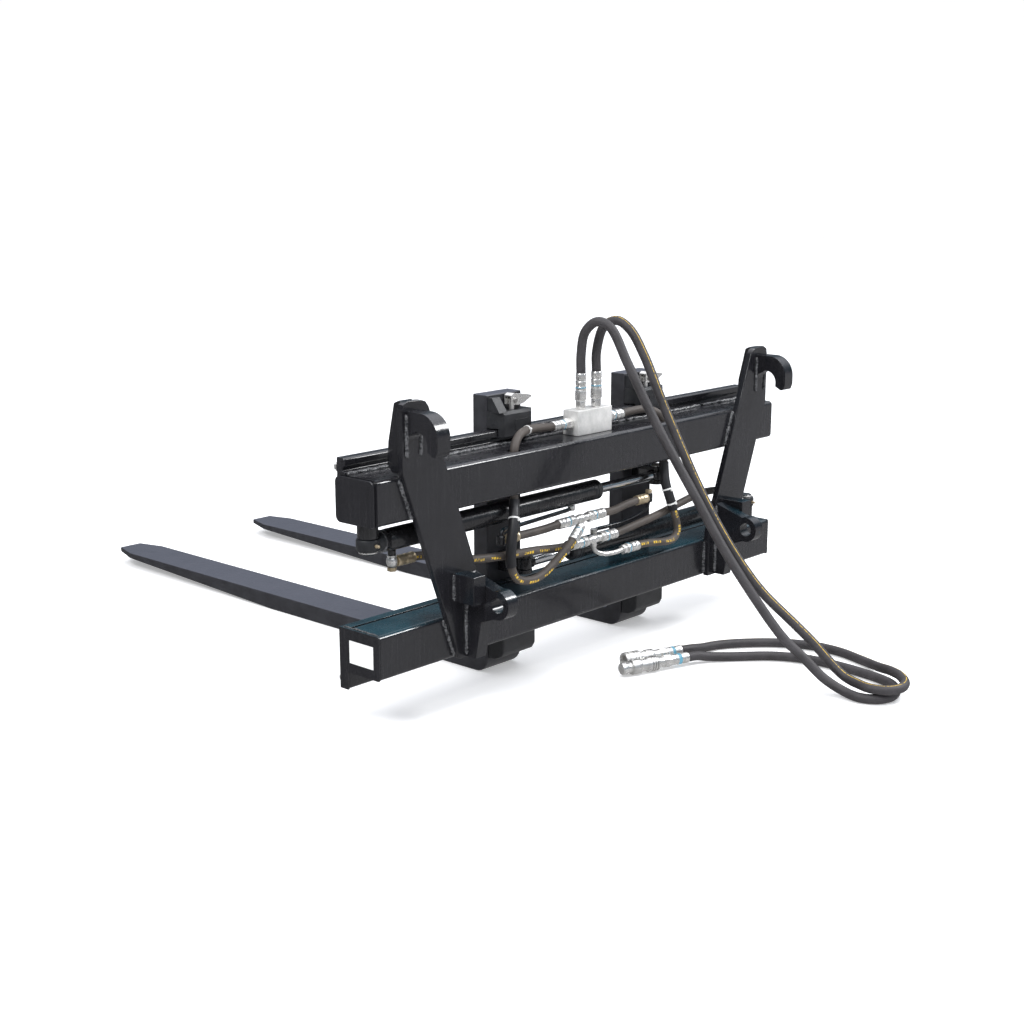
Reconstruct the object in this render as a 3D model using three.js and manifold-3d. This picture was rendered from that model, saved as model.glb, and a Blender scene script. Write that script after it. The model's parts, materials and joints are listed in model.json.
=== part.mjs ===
// Pallet fork attachment with a hydraulic fork positioner: a welded frame of two box beams with
// hook-on mounting plates, two sliding L-shaped forks, two cylinders, their plumbing, and the two
// free hoses that plug into the carrier machine.
// Millimetres. +X runs along the beams, +Y towards the fork tips, +Z up, and the floor is Z = 0.
import * as THREE from "three";
import { mergeVertices } from "three/addons/utils/BufferGeometryUtils.js";
import Module from "manifold-3d";

const wasm = await Module();
wasm.setup();

// ---- driving dimensions ----
const gap = 0.3; // between pieces that touch
const halfLength = 750; // half the length of the frame
const tubeSize = 100; // box beam, square
const tubeWall = 8;
const lowerTubeTop = 228;
const upperTubeTop = 564;
const barThickness = 25.4; // the flat bars that the forks hang on
const lowerBarHeight = 140;
const upperBarTop = 600;
const upperBarBottom = 461;
const capThickness = 6;
const plateThickness = 16; // the two side plates on the back of the beams
const hookThickness = 38;
const hookInset = 654; // from the middle of the frame to the middle of a hook
const lugInset = 481.5; // from the middle of the frame to the middle of a lug
const lugThickness = 33;
const pinHoleRadius = 17.5;
const pinHole = { y: -110, z: 265 };
const lugEyeRadius = 32.5;
const forkWidth = 120;
const forkThickness = 45;
const bladeLength = 1540;
const shankTop = 680;
const heelRadius = 40;
const forkX = { left: -218, right: 300 }; // where the forks stand at rest
const cylinderY = 62;
const cylinderZ = { upper: 415, lower: 277 };
const barrelRadius = 25;
const boreRadius = 20;
const pistonX = { upper: -440, lower: 470 }; // the piston's outer face at rest
const rodRadius = 12.5;
const barrelEnd = 20; // the barrel's open end, from the middle of the frame
const anchorX = 717; // the cylinder's base pin, from the middle of the frame
const hoseRadius = 10; // hoses of the positioner circuit
const mainHoseRadius = 11.5; // the two hoses to the carrier machine
const ferruleRadius = 12.5;
const nutRadius = 14.5;

// ---- derived places ----
const lowerTubeBottom = lowerTubeTop - tubeSize;
const upperTubeBottom = upperTubeTop - tubeSize;
const lowerBarBottom = lowerTubeTop - lowerBarHeight;
const barBack = tubeSize + gap;
const barFront = barBack + barThickness;
const shankBack = barFront + gap;
const shankFront = shankBack + forkThickness;
const bladeTip = shankFront + bladeLength;
const lugBack = pinHole.y - lugEyeRadius;
const middleY = (bladeTip + lugBack) / 2;

// ---- materials ----
const paint = (color, roughness, metalness) =>
  new THREE.MeshStandardMaterial({ color, roughness, metalness });
const blackGloss = paint(0x16181b, 0.25, 0.1);
const blackSatin = paint(0x2a2c30, 0.5, 0.1);
const castBlack = paint(0x202225, 0.45, 0.2);
const chrome = paint(0xd8dadc, 0.12, 1);
const zinc = paint(0xc9c8c0, 0.35, 0.9);
const alloy = paint(0xd4d4cf, 0.4, 0.8);
const hoseRubber = paint(0x38363a, 0.8, 0);
const whitePlastic = paint(0xf2f2ee, 0.5, 0);

// ---- helpers ----
const xAxis = new THREE.Vector3(1, 0, 0);
const yAxis = new THREE.Vector3(0, 1, 0);
const zAxis = new THREE.Vector3(0, 0, 1);
const point = ([x, y, z]) => new THREE.Vector3(x, y, z);

function asSolid(geometry) {
  const bare = geometry.clone();
  bare.deleteAttribute("normal");
  bare.deleteAttribute("uv");
  const merged = mergeVertices(bare, 1e-4);
  const triVerts = new Uint32Array(merged.index.array);
  const vertProperties = merged.attributes.position.array;
  const made = new wasm.Manifold(new wasm.Mesh({ numProp: 3, vertProperties, triVerts }));
  if (made.volume() > 0) return made;
  for (let i = 0; i < triVerts.length; i += 3)
    [triVerts[i + 1], triVerts[i + 2]] = [triVerts[i + 2], triVerts[i + 1]];
  return new wasm.Manifold(new wasm.Mesh({ numProp: 3, vertProperties, triVerts }));
}

function asGeometry(solid) {
  const mesh = solid.getMesh();
  const geometry = new THREE.BufferGeometry();
  geometry.setAttribute("position", new THREE.BufferAttribute(mesh.vertProperties, 3));
  geometry.setIndex(new THREE.BufferAttribute(mesh.triVerts, 1));
  return geometry;
}

const joined = (...pieces) => asGeometry(pieces.map(asSolid).reduce((sum, next) => sum.add(next)));
const cut = (body, ...tools) =>
  asGeometry(tools.map(asSolid).reduce((rest, tool) => rest.subtract(tool), asSolid(body)));
const common = (a, b) => asGeometry(asSolid(a).intersect(asSolid(b)));

function block(low, high) {
  const size = high.map((v, i) => v - low[i]);
  const box = new THREE.BoxGeometry(...size);
  return box.translate(...low.map((v, i) => v + size[i] / 2));
}

// An outline in the plane across the axis (Y-Z, X-Z or X-Y), extruded from one place to another.
function extruded(outline, axis, from, to, curveSegments = 6) {
  const shape = Array.isArray(outline)
    ? new THREE.Shape(outline.map(([a, b]) => new THREE.Vector2(a, b)))
    : outline;
  const settings = { depth: to - from, bevelEnabled: false, curveSegments };
  const geometry = new THREE.ExtrudeGeometry(shape, settings);
  const turn = new THREE.Matrix4();
  if (axis === "x") turn.makeBasis(yAxis, zAxis, xAxis).setPosition(from, 0, 0);
  if (axis === "y") turn.makeBasis(xAxis, zAxis, yAxis.clone().negate()).setPosition(0, to, 0);
  if (axis === "z") turn.setPosition(0, 0, from);
  return geometry.applyMatrix4(turn);
}

// A profile of [radius, distance] pairs turned about an axis that starts at a point.
function turned(profile, start, direction, sides = 16) {
  const points = profile.map(([r, h]) => new THREE.Vector2(r, h));
  const geometry = new THREE.LatheGeometry(points, sides);
  const turn = new THREE.Quaternion().setFromUnitVectors(yAxis, point(direction).normalize());
  return geometry.applyQuaternion(turn).translate(...start);
}

function cylinder(radius, start, end, sides = 16) {
  const span = point(end).sub(point(start));
  const length = span.length();
  const profile = [[0, 0], [radius, 0], [radius, length], [0, length]];
  return turned(profile, start, span.toArray(), sides);
}

function hose(points, radius, steps, sides = 8) {
  const curve = new THREE.CatmullRomCurve3(points.map(point), false, "centripetal");
  const ring = new THREE.Shape();
  for (let i = 0; i < sides; i++) {
    const turn = (2 * Math.PI * i) / sides;
    ring[i ? "lineTo" : "moveTo"](radius * Math.cos(turn), radius * Math.sin(turn));
  }
  return new THREE.ExtrudeGeometry(ring, { steps, extrudePath: curve, bevelEnabled: false });
}

function roundedRect(y0, z0, y1, z1, r) {
  const shape = new THREE.Shape();
  shape.moveTo(y0 + r, z0);
  shape.lineTo(y1 - r, z0).absarc(y1 - r, z0 + r, r, -Math.PI / 2, 0);
  shape.lineTo(y1, z1 - r).absarc(y1 - r, z1 - r, r, 0, Math.PI / 2);
  shape.lineTo(y0 + r, z1).absarc(y0 + r, z1 - r, r, Math.PI / 2, Math.PI);
  shape.lineTo(y0, z0 + r).absarc(y0 + r, z0 + r, r, Math.PI, 1.5 * Math.PI);
  return shape;
}

const attachment = new THREE.Group();
const frame = new THREE.Group();
frame.position.set(0, -middleY, 0); // the origin is on the floor under the middle of the whole part
attachment.add(frame);

function place(name, geometry, material) {
  const mesh = new THREE.Mesh(geometry, material);
  mesh.name = name;
  frame.add(mesh);
}

// ---- beams, bars and end caps ----
const transferHoles = { left: { x: -295, y: 26 }, right: { x: 278, y: 26 } };

function beamTube(bottom) {
  const end = halfLength - capThickness - gap;
  const shape = roundedRect(0, bottom, tubeSize, bottom + tubeSize, 10);
  const inside = tubeSize - tubeWall;
  shape.holes.push(roundedRect(tubeWall, bottom + tubeWall, inside, bottom + inside, 4));
  return extruded(shape, "x", -end, end, 3);
}

function buildBeams() {
  const drill = ({ x, y }) => cylinder(17, [x, y, upperTubeBottom - 5], [x, y, upperTubeTop + 5], 12);
  place("lower_beam_tube", beamTube(lowerTubeBottom), blackGloss);
  const upper = cut(beamTube(upperTubeBottom), drill(transferHoles.left), drill(transferHoles.right));
  place("upper_beam_tube", upper, blackGloss);
  const barEnd = halfLength - capThickness - gap;
  const lowerBar = [
    [barBack, lowerBarBottom + 5],
    [barBack + 5, lowerBarBottom],
    [barFront, lowerBarBottom],
    [barFront, lowerTubeTop],
    [barBack, lowerTubeTop],
  ];
  place("lower_fork_bar", extruded(lowerBar, "x", -barEnd, barEnd), blackGloss);
  const upperBar = [
    [barBack, upperBarBottom],
    [barFront, upperBarBottom],
    [barFront, upperBarTop],
    [barBack + 4, upperBarTop],
    [barBack, upperBarTop - 4],
    [barBack, upperBarTop - 17],
    [barBack + 7, upperBarTop - 20],
    [barBack + 7, upperBarTop - 28],
    [barBack, upperBarTop - 31],
  ];
  place("upper_fork_bar", extruded(upperBar, "x", -barEnd, barEnd), blackGloss);
}

function buildEndCaps() {
  const upper = roundedRect(6, upperBarBottom, barFront, upperTubeTop - 2, 14);
  const lower = [
    [0, lowerTubeBottom + 3],
    [3, lowerTubeBottom],
    [barBack, lowerTubeBottom],
    [barBack, lowerBarBottom],
    [barFront, lowerBarBottom],
    [barFront, lowerTubeTop],
    [3, lowerTubeTop],
    [0, lowerTubeTop - 3],
  ];
  const inner = halfLength - capThickness;
  const lowerOuter = halfLength - 1;
  place("end_cap_upper_left", extruded(upper, "x", -halfLength, -inner, 3), blackGloss);
  place("end_cap_upper_right", extruded(upper, "x", inner, halfLength, 3), blackGloss);
  place("end_cap_lower_left", extruded(lower, "x", -lowerOuter, -inner, 3), blackGloss);
  place("end_cap_lower_right", extruded(lower, "x", inner, lowerOuter, 3), blackGloss);
  const labelBack = lowerOuter + gap;
  const label = block([-labelBack - 0.6, 17, 152], [-labelBack, 92, 203]);
  place("blank_label", label, whitePlastic);
}

// ---- side plates, hooks, ribs and lugs: drawn for the left side and mirrored to the right ----
function mirroredX(geometry) {
  return asGeometry(asSolid(geometry.clone().scale(-1, 1, 1)));
}

function placePair(name, geometry, material) {
  place(name + "_left", geometry, material);
  place(name + "_right", mirroredX(geometry), material);
}

function sidePlate() {
  const outline = [
    [-519, lowerTubeBottom],
    [-435, lowerTubeBottom],
    [-435, 250],
    [-553, 564],
    [-607, 708],
    [-616, 719],
    [-628, 723],
    [-668, 725],
    [-682, 718],
    [-686, 700],
    [-686, 573],
  ];
  return extruded(outline, "y", -plateThickness, -gap);
}

function hookPlate() {
  const back = -plateThickness - gap;
  const shape = new THREE.Shape();
  shape.moveTo(back, 704);
  shape.lineTo(-55, 704);
  shape.absarc(-55, 652, 52, Math.PI / 2, Math.PI);
  shape.lineTo(-107, 630).lineTo(-102, 617).lineTo(-94, 615).lineTo(-77, 624);
  shape.lineTo(-77, 634);
  shape.absarc(-47, 634, 30, Math.PI, Math.PI * 0.04, true);
  shape.lineTo(back, 600);
  const x = -hookInset;
  return extruded(shape, "x", x - hookThickness / 2, x + hookThickness / 2, 10);
}

function ribPlate() {
  const outline = [
    [0, 568],
    [30, 568],
    [44, 584],
    [41, 634],
    [22, 718],
    [8, 724],
    [0, 722],
  ];
  const x = -hookInset;
  return extruded(outline, "x", x - hookThickness / 2, x + hookThickness / 2);
}

function lugPlate() {
  const back = -plateThickness - gap;
  const { y, z } = pinHole;
  const shape = new THREE.Shape();
  shape.moveTo(back, lowerTubeBottom + 2);
  shape.lineTo(back, 322);
  shape.absarc(y, z, lugEyeRadius, Math.PI * 0.39, Math.PI * 1.56);
  shape.lineTo(-62, 218).lineTo(-45, lowerTubeBottom + 2);
  const hole = new THREE.Path();
  hole.absarc(y, z, pinHoleRadius, 0, 2 * Math.PI);
  shape.holes.push(hole);
  return extruded(shape, "x", -lugInset - lugThickness / 2, -lugInset + lugThickness / 2, 12);
}

function buildMounting() {
  placePair("side_plate", sidePlate(), blackGloss);
  placePair("hook", hookPlate(), blackGloss);
  placePair("rib", ribPlate(), blackGloss);
  placePair("lug", lugPlate(), blackGloss);
  const inner = -lugInset - lugThickness / 2 - gap;
  const stop = block([inner - 38, -76, 265], [inner, -plateThickness - gap, 329]);
  placePair("stop_block", stop, blackGloss);
}

// ---- forks with their hooks, clevis and latch ----
function forkBody(x) {
  const side = new THREE.Shape();
  const inner = 14;
  side.moveTo(shankBack, heelRadius);
  side.absarc(shankBack + heelRadius, heelRadius, heelRadius, Math.PI, Math.PI * 1.5);
  side.lineTo(950, 0).lineTo(bladeTip, 31).lineTo(bladeTip, forkThickness);
  side.lineTo(shankFront + inner, forkThickness);
  side.absarc(shankFront + inner, forkThickness + inner, inner, -Math.PI / 2, Math.PI, true);
  side.lineTo(shankFront, shankTop).lineTo(shankBack, shankTop);
  const half = forkWidth / 2;
  const plan = [
    [x - half, shankBack - 10],
    [x + half, shankBack - 10],
    [x + half, bladeTip - 85],
    [x + 36, bladeTip],
    [x - 36, bladeTip],
    [x - half, bladeTip - 85],
  ];
  return common(
    extruded(side, "x", x - half, x + half, 5),
    extruded(plan, "z", -10, shankTop + 10),
  );
}

const latchAt = { x: 8, y: barBack + 9, z: 664 };
const latchPinRadius = 6;

function topHook(x) {
  const front = shankBack - gap;
  const half = forkWidth / 2;
  const outline = [
    [front, upperBarTop + 3],
    [barBack - 1.5, upperBarTop + 3],
    [barBack - 1.5, upperBarTop - 17],
    [87, upperBarTop - 17],
    [86.5, 635],
    [92, 642],
    [front, 642],
  ];
  const casting = extruded(outline, "x", x - half + 1, x + half - 1);
  const ridge = [
    [88, 641],
    [front, 641],
    [front, 674],
    [112, 674],
  ];
  const plan = [
    [x - half + 1, front + 1],
    [x - half + 1, 112],
    [x - half + 20, 86],
    [x + half - 8, 86],
    [x + half - 1, 92],
    [x + half - 1, front + 1],
  ];
  const trimmed = common(casting, extruded(plan, "z", 570, 700));
  const { x: dx, y } = latchAt;
  const hole = cylinder(latchPinRadius + 0.4, [x + dx, y, 590], [x + dx, y, 660], 12);
  return cut(joined(trimmed, extruded(ridge, "x", x - half + 3, x - half + 30)), hole);
}

function lowerHook(x) {
  const bottom = lowerBarBottom;
  const front = shankBack - gap;
  const outline = [
    [front, bottom - 3],
    [front, 38],
    [104, 40],
    [84, 50],
    [76, 64],
    [76, bottom + 26],
    [94, bottom + 26],
    [96, bottom - 3],
  ];
  return extruded(outline, "x", x - forkWidth / 2 + 2, x + forkWidth / 2 - 2);
}

function rodClevis(x, z) {
  const front = shankBack - gap;
  const pinRadius = 10;
  const ear = new THREE.Shape();
  ear.moveTo(x - 20, front);
  ear.lineTo(x - 20, cylinderY).absarc(x, cylinderY, 20, Math.PI, 2 * Math.PI);
  ear.lineTo(x + 20, front);
  return joined(
    extruded(ear, "z", z + 14, z + 23, 5),
    extruded(ear, "z", z - 23, z - 14, 5),
    block([x - 22, front - 22, z - 24], [x + 22, front, z + 24]),
    cylinder(pinRadius, [x, cylinderY, z - 20], [x, cylinderY, z + 20], 12),
    cylinder(13, [x, cylinderY, z + 20], [x, cylinderY, z + 29], 6),
  );
}

// The rod with its eye on one end and the piston on the other.
function pistonRod(x, level) {
  const z = cylinderZ[level];
  const pistonFace = pistonX[level];
  const inwards = Math.sign(x - pistonFace);
  const eye = cylinder(19, [x, cylinderY, z - 13.6], [x, cylinderY, z + 13.6], 16);
  const shaft = cylinder(rodRadius, [pistonFace, cylinderY, z], [x, cylinderY, z], 16);
  const piston = cylinder(
    boreRadius - 0.5,
    [pistonFace, cylinderY, z],
    [pistonFace + inwards * 35, cylinderY, z],
    16,
  );
  const bore = cylinder(10.4, [x, cylinderY, z - 20], [x, cylinderY, z + 20], 12);
  return cut(joined(eye, shaft, piston), bore);
}

function latchPin(x) {
  const { x: dx, y, z } = latchAt;
  return joined(
    cylinder(latchPinRadius, [x + dx, y, upperBarTop + 3.5], [x + dx, y, z + 3], 12),
    cylinder(4, [x + dx, y - 13, z], [x + dx, y + 13, z], 10),
  );
}

// A folded sheet lever: two cheeks either side of the pin, joined along the top, tapering to a tip.
function latchLever(x) {
  const { x: dx, y, z } = latchAt;
  const side = [
    [-13, -10],
    [14, -12],
    [30, -10],
    [58, 3],
    [58, 7],
    [-4, 17],
    [-13, 12],
  ];
  const outline = side.map(([a, b]) => [x + dx + a, z + b]);
  const whole = extruded(outline, "y", y - 11, y + 11);
  const slotOutline = [
    [-20, -20],
    [24, -20],
    [24, 9],
    [-20, 9],
  ];
  const slot = extruded(
    slotOutline.map(([a, b]) => [x + dx + a, z + b]),
    "y",
    y - 8.5,
    y + 8.5,
  );
  const pivot = cylinder(4.4, [x + dx, y - 20, z], [x + dx, y + 20, z], 10);
  return cut(whole, slot, pivot);
}

function buildForks() {
  for (const side of ["left", "right"]) {
    const x = forkX[side];
    const level = side === "right" ? "upper" : "lower";
    place("fork_" + side, forkBody(x), blackSatin);
    place("top_hook_" + side, topHook(x), castBlack);
    place("lower_hook_" + side, lowerHook(x), castBlack);
    place("rod_clevis_" + side, rodClevis(x, cylinderZ[level]), blackGloss);
    place("piston_rod_" + level, pistonRod(x, level), chrome);
    place("latch_pin_" + side, latchPin(x), zinc);
    place("latch_lever_" + side, latchLever(x), zinc);
  }
}

// ---- cylinders: drawn for the upper one; the lower one is the same turned half round about Y ----
const middleZ = (cylinderZ.upper + cylinderZ.lower) / 2;

function turnedRound(geometry) {
  const copy = geometry.clone().translate(0, 0, -middleZ).rotateY(Math.PI);
  return copy.translate(0, 0, middleZ);
}

function placeCylinderPair(name, geometry, material) {
  place(name + "_upper", geometry, material);
  place(name + "_lower", turnedRound(geometry), material);
}

function buildCylinders() {
  const z = cylinderZ.upper;
  const eyeHalf = 14;
  const anchor = [
    [0, -21],
    [19, -21],
    [19, -eyeHalf - 0.4],
    [12, -eyeHalf - 0.4],
    [12, eyeHalf + 0.4],
    [23, eyeHalf + 0.4],
    [23, upperTubeBottom - gap - z],
    [0, upperTubeBottom - gap - z],
  ];
  placeCylinderPair("anchor_pin", turned(anchor, [-anchorX, cylinderY, z], [0, 0, 1]), blackGloss);
  const neckEnd = -anchorX + 33;
  const eye = cut(
    joined(
      cylinder(26, [-anchorX, cylinderY, z - eyeHalf], [-anchorX, cylinderY, z + eyeHalf], 20),
      block([-anchorX + 5, cylinderY - 18, z - eyeHalf], [neckEnd, cylinderY + 18, z + eyeHalf]),
    ),
    cylinder(12.4, [-anchorX, cylinderY, z - 20], [-anchorX, cylinderY, z + 20], 16),
  );
  placeCylinderPair("base_eye", eye, castBlack);
  const barrelStart = neckEnd + gap;
  const barrelLength = barrelEnd - barrelStart;
  const barrel = [
    [0, 0],
    [barrelRadius, 0],
    [barrelRadius, barrelLength],
    [boreRadius, barrelLength],
    [boreRadius, 10],
    [0, 10],
  ];
  placeCylinderPair(
    "barrel",
    turned(barrel, [barrelStart, cylinderY, z], [1, 0, 0]),
    blackGloss,
  );
  const glandLength = 35;
  const gland = [
    [rodRadius + 0.5, 0],
    [barrelRadius, 0],
    [barrelRadius, glandLength - 6],
    [barrelRadius - 6, glandLength],
    [rodRadius + 0.5, glandLength],
    [rodRadius + 0.5, 0],
  ];
  placeCylinderPair("gland", turned(gland, [barrelEnd + gap, cylinderY, z], [1, 0, 0]), castBlack);
}

// ---- hydraulic block, tees and fittings ----
const block0 = { x: -52, y: 36, z: upperTubeTop + gap };
const blockSize = { x: 130, y: 48, z: 61 };
const blockTop = block0.z + blockSize.z;
const mainPorts = { a: { x: -17, y: 58 }, b: { x: 37, y: 54 } };
const sidePortY = 60;
const sidePortZ = 594;
const upperTee = { x: -68, y: 12, z: 368 };
const lowerTee = { x: -21, y: 10, z: 308 };
const basePorts = { x: -648, z: cylinderZ.upper - barrelRadius - gap };

// A crimped hose end: the ferrule from the hose inwards, then its hexagon nut.
function crimpedEnd(start, end, nut) {
  const along = point(end).sub(point(start));
  const length = along.length();
  const profile = [[0, 0], [ferruleRadius, 0], [ferruleRadius, length], [0, length]];
  const ferrule = turned(profile, start, along.toArray(), 12);
  if (!nut) return ferrule;
  const nutProfile = [[0, -1], [nutRadius, -1], [nutRadius, nut], [0, nut]];
  return joined(ferrule, turned(nutProfile, end, along.toArray(), 6));
}

function buildBlock() {
  const { x, y, z } = block0;
  const body = block([x, y, z], [x + blockSize.x, y + blockSize.y, blockTop]);
  place("manifold_block", body, alloy);
  for (const [key, port] of Object.entries(mainPorts)) {
    const up = (radius, from, to, sides) =>
      cylinder(radius, [port.x, port.y, blockTop + from], [port.x, port.y, blockTop + to], sides);
    const adapter = joined(up(13, gap, 21, 6), up(15, 20, 46, 6), up(13, 45, 87, 12));
    place("manifold_adapter_" + key, adapter, zinc);
  }
}

// A tee lies along X with a nut on both ends, and a third arm.
function tee(at, arm) {
  const along = (radius, from, to, sides) =>
    cylinder(radius, [at.x + from, at.y, at.z], [at.x + to, at.y, at.z], sides);
  return joined(along(9, -28, 28, 8), along(nutRadius, -42, -26, 6), along(nutRadius, 26, 42, 6), arm);
}

function buildFittings() {
  const upperArm = joined(
    cylinder(8, [upperTee.x, upperTee.y, upperTee.z], [-72, 8, 349], 8),
    cylinder(12, [-70, 9, 352], [-80, 6, 345.5], 6),
  );
  place("tee_upper", tee(upperTee, upperArm), zinc);
  const lowerArm = joined(
    cylinder(8.5, [lowerTee.x, lowerTee.y, lowerTee.z], [lowerTee.x, lowerTee.y, 290], 8),
    hose([[-21, 10, 292], [-18, 8, 280], [-2, 2, 270], [30, -5, 266], [84, -8, 268]], 6, 12),
  );
  place("tee_lower", tee(lowerTee, lowerArm), zinc);
  const base = (from, to, radius, sides) =>
    cylinder(
      radius,
      [basePorts.x, cylinderY, basePorts.z - from],
      [basePorts.x, cylinderY, basePorts.z - to],
      sides,
    );
  const banjo = joined(base(0, 19, 9, 12), base(18, 36, 12, 12), base(35, 47, 11, 6));
  placeCylinderPair("base_banjo", banjo, zinc);

  const pipeZ = basePorts.z;
  const upperPipe = hose(
    [
      [-44, 62, pipeZ],
      [-44, 62, pipeZ - 6],
      [-53, 61, 381],
      [-90, 58, 380],
      [-190, 46, 381],
      [-290, 32, 383],
      [-330, 23, 385],
      [-343, 20.5, 381],
      [-345, 20, 373],
    ],
    5,
    24,
  );
  const elbow = joined(
    cylinder(10, [-345, 20, 352], [-345, 20, 374], 12),
    cylinder(11, [-345, 20, 363], [-318, 20, 363], 6),
  );
  place("rod_port_pipe_upper", joined(upperPipe, elbow), blackGloss);
  const lowerPipe = hose(
    [
      [44, 62, 2 * middleZ - pipeZ],
      [44, 62, 2 * middleZ - pipeZ + 6],
      [53, 61, 312],
      [90, 58, 313],
      [140, 48, 317],
      [182, 33, 329],
      [207, 22, 346],
      [213, 20, 365],
    ],
    5,
    20,
  );
  const rodBanjo = joined(
    cylinder(10, [213, 20, 363], [213, 20, 386], 12),
    cylinder(9, [213, 20, 385], [213, 20, 395], 6),
  );
  place("rod_port_pipe_lower", joined(lowerPipe, rodBanjo), blackGloss);
}

// ---- hoses of the positioner circuit, each with its crimped ends ----
function buildCircuitHoses() {
  const baseEnd = basePorts.x + 12.5;
  const baseZ = basePorts.z - 27;
  const mirroredBaseZ = 2 * middleZ - baseZ;
  const leftPort = block0.x - gap;
  const rightPort = block0.x + blockSize.x + gap;
  const teeEnd = 42 + gap;
  const upperLeft = upperTee.x - teeEnd;
  const upperRight = upperTee.x + teeEnd;
  const lowerLeft = lowerTee.x - teeEnd;
  const lowerRight = lowerTee.x + teeEnd;
  const { y: upperY, z: upperZ } = upperTee;
  const { y: lowerY, z: lowerZ } = lowerTee;
  // each end is [the ferrule's mouth, the ferrule's far end, the length of its nut]
  const hoses = {
    base_hose_upper: {
      ends: [
        [[baseEnd + 52, cylinderY, baseZ], [baseEnd, cylinderY, baseZ], 0],
        [[lowerLeft - 44, lowerY, lowerZ], [lowerLeft, lowerY, lowerZ], 0],
      ],
      bends: [
        [baseEnd + 92, 57, baseZ - 4],
        [-450, 26, 337],
        [-350, 18, 326],
        [-230, 16, 318],
        [-150, 16, 309],
      ],
      steps: 22,
    },
    base_hose_lower: {
      ends: [
        [[lowerRight + 44, lowerY, lowerZ], [lowerRight, lowerY, lowerZ], 0],
        [[-baseEnd - 52, cylinderY, mirroredBaseZ], [-baseEnd, cylinderY, mirroredBaseZ], 0],
      ],
      bends: [
        [120, 11, 312],
        [250, 16, 324],
        [350, 20, 337],
        [450, 34, 343],
        [540, 56, 335],
      ],
      steps: 22,
    },
    rod_hose_upper: {
      ends: [
        [[upperLeft - 44, upperY, upperZ], [upperLeft, upperY, upperZ], 0],
        [[-290, 20, 363], [-317.5, 20, 363], 0],
      ],
      bends: [
        [-190, 14, 365],
        [-240, 18, 363],
      ],
      steps: 8,
    },
    rod_hose_lower: {
      ends: [
        [[upperRight + 44, upperY, upperZ], [upperRight, upperY, upperZ], 0],
        [[160, 20, 374], [202.5, 20, 374], 0],
      ],
      bends: [
        [60, 13, 367],
        [110, 18, 371],
      ],
      steps: 8,
    },
    transfer_hose_left: {
      ends: [
        [[leftPort - 68, sidePortY, sidePortZ], [leftPort - 24, sidePortY, sidePortZ], 24],
        [[-118, -4.5, 325], [-81, 5.5, 344.5], 0],
      ],
      bends: [
        [-160, 59, 597],
        [-215, 52, 600],
        [-262, 38, 594],
        [-288, 28, 575],
        [-295, 25, 545],
        [-295, 25, 470],
        [-299, 20, 440],
        [-318, 4, 405],
        [-338, -6, 350],
        [-341, -9, 305],
        [-324, -10, 274],
        [-290, -10, 261],
        [-245, -10, 262],
        [-196, -9, 281],
        [-150, -8, 307],
      ],
      steps: 44,
    },
    transfer_hose_right: {
      ends: [
        [[rightPort + 68, sidePortY, sidePortZ], [rightPort + 24, sidePortY, sidePortZ], 24],
        [[133, -8, 268], [86, -8, 268], 0],
      ],
      bends: [
        [185, 58, 597],
        [230, 46, 597],
        [265, 32, 582],
        [280, 25, 550],
        [281, 25, 470],
        [279, 22, 440],
        [273, 12, 405],
        [275, 0, 370],
        [287, -7, 330],
        [300, -8, 295],
        [303, -8, 278],
        [292, -8, 261],
        [268, -8, 255],
        [225, -8, 259],
        [180, -8, 265],
      ],
      steps: 42,
    },
  };
  for (const [name, { ends, bends, steps }] of Object.entries(hoses)) {
    const inside = ([mouth, far]) => point(mouth).lerp(point(far), 0.3).toArray();
    const route = [inside(ends[0]), ends[0][0], ...bends, ends[1][0], inside(ends[1])];
    const tube = hose(route, hoseRadius, steps);
    place(name, joined(tube, crimpedEnd(...ends[0]), crimpedEnd(...ends[1])), hoseRubber);
  }
}

// ---- the two free hoses and their quick couplers ----
const mainRoutes = {
  a: [
    [-17, 58, 712.6],
    [-17, 58, 760],
    [-15, 48, 812],
    [-7, 19, 838],
    [3, -12, 828],
    [13, -60, 744],
    [26, -108, 651],
    [37, -151, 574],
    [58, -231, 442],
    [76, -302, 325],
    [96, -377, 218],
    [116, -454, 122],
    [129, -503, 81],
    [142, -551, 39],
    [149, -600, 17],
    [147, -644, 11.8],
    [165, -680, 11.8],
    [200, -694, 11.8],
    [245, -683, 11.8],
    [280, -652, 11.8],
    [298, -608, 11.8],
    [308, -554, 11.8],
    [315, -480, 11.8],
    [308, -405, 11.8],
    [276, -333, 11.8],
    [190, -246, 11.8],
    [153, -217, 15],
    [128, -203.4, 19.8],
    [102, -194, 20.6],
  ],
  b: [
    [37, 54, 712.6],
    [37, 54, 762],
    [42, 36, 822],
    [50, 2, 838],
    [57, -32, 818],
    [66, -70, 756],
    [76, -112, 661],
    [86, -156, 568],
    [98, -206, 466],
    [110, -264, 366],
    [126, -330, 270],
    [141, -379, 211],
    [160, -457, 146],
    [172, -506, 104],
    [181, -544, 66],
    [182, -583, 40],
    [170, -625, 35],
    [160, -664, 35],
    [173, -700, 35.5],
    [206, -715, 36],
    [246, -704, 36],
    [282, -674, 35.5],
    [316, -634, 30],
    [358, -572, 18],
    [394, -505, 11.8],
    [414, -436, 11.8],
    [412, -362, 11.8],
    [376, -283, 11.8],
    [312, -215, 11.8],
    [256, -177, 11.8],
    [205, -163, 13.5],
    [168, -160, 19.5],
    [135, -149, 20.6],
  ],
};

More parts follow.
